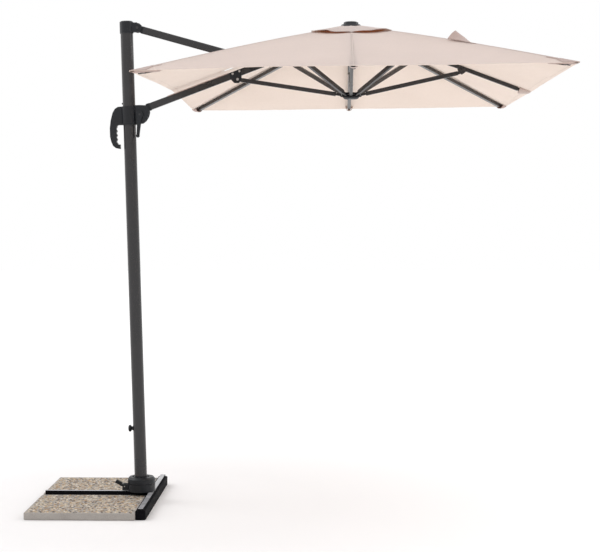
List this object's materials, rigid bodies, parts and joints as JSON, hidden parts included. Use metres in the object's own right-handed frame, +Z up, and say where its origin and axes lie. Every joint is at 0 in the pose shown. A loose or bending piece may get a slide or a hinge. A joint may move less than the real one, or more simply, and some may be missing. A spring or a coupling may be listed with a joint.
{
  "type": "cantilever parasol",
  "caption": "Free-standing cantilever parasol: leaning mast on a slab-weighted base, folding arm with a sliding handle, and a rectangular vented canopy on folding ribs.",
  "frame": {"origin": "on the mast's axis at ground level, where the base stands on the ground", "axes": "+X runs from the mast towards the canopy, +Y along the canopy's long side, +Z up"},
  "size_m": [2.695, 3, 2.6259],
  "materials": {
    "frame_paint": "satin powder coat",
    "black_plastic": "fine grain",
    "cap_plastic": "glossy",
    "steel": "zinc plated",
    "nylon": "smooth",
    "stone": "exposed pebble aggregate on top, smooth sides",
    "rubber": "ribbed",
    "canopy_fabric": "plain woven polyester"
  },
  "bodies": {
    "base": {"rail_cross": "frame_paint", "rail_stem": "frame_paint", "rail_end_caps": "black_plastic", "slab_front": "stone", "slab_back": "stone", "base_hub": "black_plastic", "base_fasteners": "steel", "swivel_bearing": "nylon"},
    "lock": {"lock_pin": "steel"},
    "pedal": {"foot_pedal": "black_plastic", "pedal_pad": "rubber"},
    "mast": {"swivel_collar": "black_plastic", "mast_tube": "frame_paint", "mast_knob_boss": "black_plastic", "stop_screw": "black_plastic", "mast_top_cap": "black_plastic", "upper_pivot_pin": "frame_paint"},
    "knob": {"mast_knob": "black_plastic"},
    "strut": {"strut_top_fitting": "black_plastic", "upper_strut": "frame_paint", "strut_fork": "black_plastic", "elbow_pin": "frame_paint"},
    "arm": {"arm_socket": "black_plastic", "arm_tube": "frame_paint", "arm_bracket": "black_plastic", "bracket_bolts": "steel", "arm_tip_fitting": "black_plastic"},
    "slider": {"slider_housing": "black_plastic", "slider_liner": "nylon", "grip_handle": "black_plastic", "arm_pivot_pin": "frame_paint"},
    "lever": {"clamp_lever": "black_plastic"},
    "hub": {"top_hub": "black_plastic", "hub_pins": "steel", "top_cap": "cap_plastic", "vent_top": "canopy_fabric", "canopy": "canopy_fabric", "closure_strap": "canopy_fabric"},
    "runner": {"runner": "black_plastic", "runner_rivets": "steel"},
    "arm_brace": {"brace_arm": "frame_paint"},
    "rib_right_body": {"rib_right": "frame_paint"},
    "brace_right_body": {"brace_right": "frame_paint"},
    "rib_back_right_body": {"rib_back_right": "frame_paint"},
    "brace_back_right_body": {"brace_back_right": "frame_paint"},
    "rib_back_body": {"rib_back": "frame_paint"},
    "brace_back_body": {"brace_back": "frame_paint"},
    "rib_back_left_body": {"rib_back_left": "frame_paint"},
    "brace_back_left_body": {"brace_back_left": "frame_paint"},
    "rib_front_left_body": {"rib_front_left": "frame_paint"},
    "brace_front_left_body": {"brace_front_left": "frame_paint"},
    "rib_front_body": {"rib_front": "frame_paint"},
    "brace_front_body": {"brace_front": "frame_paint"},
    "rib_front_right_body": {"rib_front_right": "frame_paint"},
    "brace_front_right_body": {"brace_front_right": "frame_paint"}
  },
  "joints": [
    {"name": "mast_swivel", "type": "hinge", "parent": "base", "child": "mast", "pos_m": [0, 0, 0], "axis": [0, 0, 1], "continuous": true},
    {"name": "pedal_press", "type": "hinge", "parent": "base", "child": "pedal", "pos_m": [-0.092, 0, 0.084], "axis": [0, -1, 0], "range_deg": [0, 20], "stiffness_Nm_per_rad": 1.5, "springref_deg": -11.46},
    {"name": "lock_slide", "type": "slide", "parent": "base", "child": "lock", "axis": [-1, 0, 0], "range_m": [0, 0.008]},
    {"name": "knob_turn", "type": "hinge", "parent": "mast", "child": "knob", "pos_m": [-0.04934, 0, 0.40381], "axis": [-0.9996, 0, -0.027], "continuous": true},
    {"name": "fold", "type": "hinge", "parent": "mast", "child": "strut", "pos_m": [-0.01003, 0, 2.58868], "axis": [0, 1, 0], "range_deg": [0, 50], "deforming": ["canopy", "vent_top", "closure_strap"]},
    {"name": "arm_fold", "type": "hinge", "parent": "strut", "child": "arm", "pos_m": [0.61609, 0, 2.37103], "axis": [0, 1, 0], "range_deg": [-100, 0]},
    {"name": "slider_level", "type": "hinge", "parent": "arm", "child": "slider", "pos_m": [0.00266, 0, 2.11985], "axis": [0, 1, 0], "range_deg": [0, 50]},
    {"name": "lever_turn", "type": "hinge", "parent": "slider", "child": "lever", "pos_m": [0.00266, 0, 2.11985], "axis": [0, -1, 0], "range_deg": [0, 80]},
    {"name": "hub_level", "type": "hinge", "parent": "arm", "child": "hub", "pos_m": [1.098, 0, 2.552], "axis": [0, 1, 0], "range_deg": [0, 50]},
    {"name": "rib_right_fold", "type": "hinge", "parent": "hub", "child": "rib_right_body", "pos_m": [1.198, 0, 2.56], "axis": [0, 1, 0], "range_deg": [0, 65.48]},
    {"name": "brace_right_fold", "type": "hinge", "parent": "rib_right_body", "child": "brace_right_body", "pos_m": [1.74288, 0, 2.3444], "axis": [0, 1, 0], "range_deg": [-139.95, 0]},
    {"name": "rib_back_right_fold", "type": "hinge", "parent": "hub", "child": "rib_back_right_body", "pos_m": [1.17573, 0.0416, 2.56], "axis": [-0.8321, 0.5547, 0], "range_deg": [0, 74.86]},
    {"name": "brace_back_right_fold", "type": "hinge", "parent": "rib_back_right_body", "child": "brace_back_right_body", "pos_m": [1.47779, 0.49469, 2.44363], "axis": [-0.8321, 0.5547, 0], "range_deg": [-139.97, 0]},
    {"name": "rib_back_fold", "type": "hinge", "parent": "hub", "child": "rib_back_body", "pos_m": [1.148, 0.05, 2.56], "axis": [-1, 0, 0], "range_deg": [0, 69.92]},
    {"name": "brace_back_fold", "type": "hinge", "parent": "rib_back_body", "child": "brace_back_body", "pos_m": [1.148, 0.59677, 2.392], "axis": [-1, 0, 0], "range_deg": [-139.84, 0]},
    {"name": "runner_level", "type": "hinge", "parent": "brace_back_body", "child": "runner", "pos_m": [1.148, 0.05, 2.224], "axis": [-1, 0, 0], "range_deg": [0, 69.92]},
    {"name": "rib_back_left_fold", "type": "hinge", "parent": "hub", "child": "rib_back_left_body", "pos_m": [1.12027, 0.0416, 2.56], "axis": [-0.8321, -0.5547, 0], "range_deg": [0, 74.23]},
    {"name": "brace_back_left_fold", "type": "hinge", "parent": "rib_back_left_body", "child": "brace_back_left_body", "pos_m": [0.81792, 0.49513, 2.43714], "axis": [-0.8321, -0.5547, 0], "range_deg": [-139.94, 0]},
    {"name": "rib_front_left_fold", "type": "hinge", "parent": "hub", "child": "rib_front_left_body", "pos_m": [1.12027, -0.0416, 2.56], "axis": [0.8321, -0.5547, 0], "range_deg": [0, 73.76]},
    {"name": "brace_front_left_fold", "type": "hinge", "parent": "rib_front_left_body", "child": "brace_front_left_body", "pos_m": [0.81772, -0.49542, 2.43226], "axis": [0.8321, -0.5547, 0], "range_deg": [-139.92, 0]},
    {"name": "rib_front_fold", "type": "hinge", "parent": "hub", "child": "rib_front_body", "pos_m": [1.148, -0.05, 2.56], "axis": [1, 0, 0], "range_deg": [0, 69.92]},
    {"name": "brace_front_fold", "type": "hinge", "parent": "rib_front_body", "child": "brace_front_body", "pos_m": [1.148, -0.59677, 2.392], "axis": [1, 0, 0], "range_deg": [-139.84, 0]},
    {"name": "rib_front_right_fold", "type": "hinge", "parent": "hub", "child": "rib_front_right_body", "pos_m": [1.17573, -0.0416, 2.56], "axis": [0.8321, 0.5547, 0], "range_deg": [0, 74.86]},
    {"name": "brace_front_right_fold", "type": "hinge", "parent": "rib_front_right_body", "child": "brace_front_right_body", "pos_m": [1.47779, -0.49469, 2.44363], "axis": [0.8321, 0.5547, 0], "range_deg": [-139.97, 0]},
    {"name": "arm_brace_fold", "type": "hinge", "parent": "arm", "child": "arm_brace", "pos_m": [0.534, 0, 2.309], "axis": [0, 1, 0], "range_deg": [0, 113.53]}
  ],
  "couplings": [
    {"joint": "lock_slide", "follows": "pedal_press", "m_per_rad": 0.020053},
    {"joint": "arm_fold", "follows": "fold", "ratio": -2},
    {"joint": "slider_level", "follows": "fold", "ratio": 1},
    {"joint": "hub_level", "follows": "fold", "ratio": 1},
    {"joint": "rib_right_fold", "follows": "fold", "ratio": 1.3097},
    {"joint": "brace_right_fold", "follows": "fold", "ratio": -2.799},
    {"joint": "rib_back_right_fold", "follows": "fold", "ratio": 1.4971},
    {"joint": "brace_back_right_fold", "follows": "fold", "ratio": -2.7994},
    {"joint": "rib_back_fold", "follows": "fold", "ratio": 1.3984},
    {"joint": "brace_back_fold", "follows": "fold", "ratio": -2.7968},
    {"joint": "runner_level", "follows": "fold", "ratio": 1.3984},
    {"joint": "rib_back_left_fold", "follows": "fold", "ratio": 1.4845},
    {"joint": "brace_back_left_fold", "follows": "fold", "ratio": -2.7988},
    {"joint": "rib_front_left_fold", "follows": "fold", "ratio": 1.4751},
    {"joint": "brace_front_left_fold", "follows": "fold", "ratio": -2.7984},
    {"joint": "rib_front_fold", "follows": "fold", "ratio": 1.3984},
    {"joint": "brace_front_fold", "follows": "fold", "ratio": -2.7968},
    {"joint": "rib_front_right_fold", "follows": "fold", "ratio": 1.4971},
    {"joint": "brace_front_right_fold", "follows": "fold", "ratio": -2.7994},
    {"joint": "arm_brace_fold", "follows": "fold", "ratio": 2.2706}
  ]
}
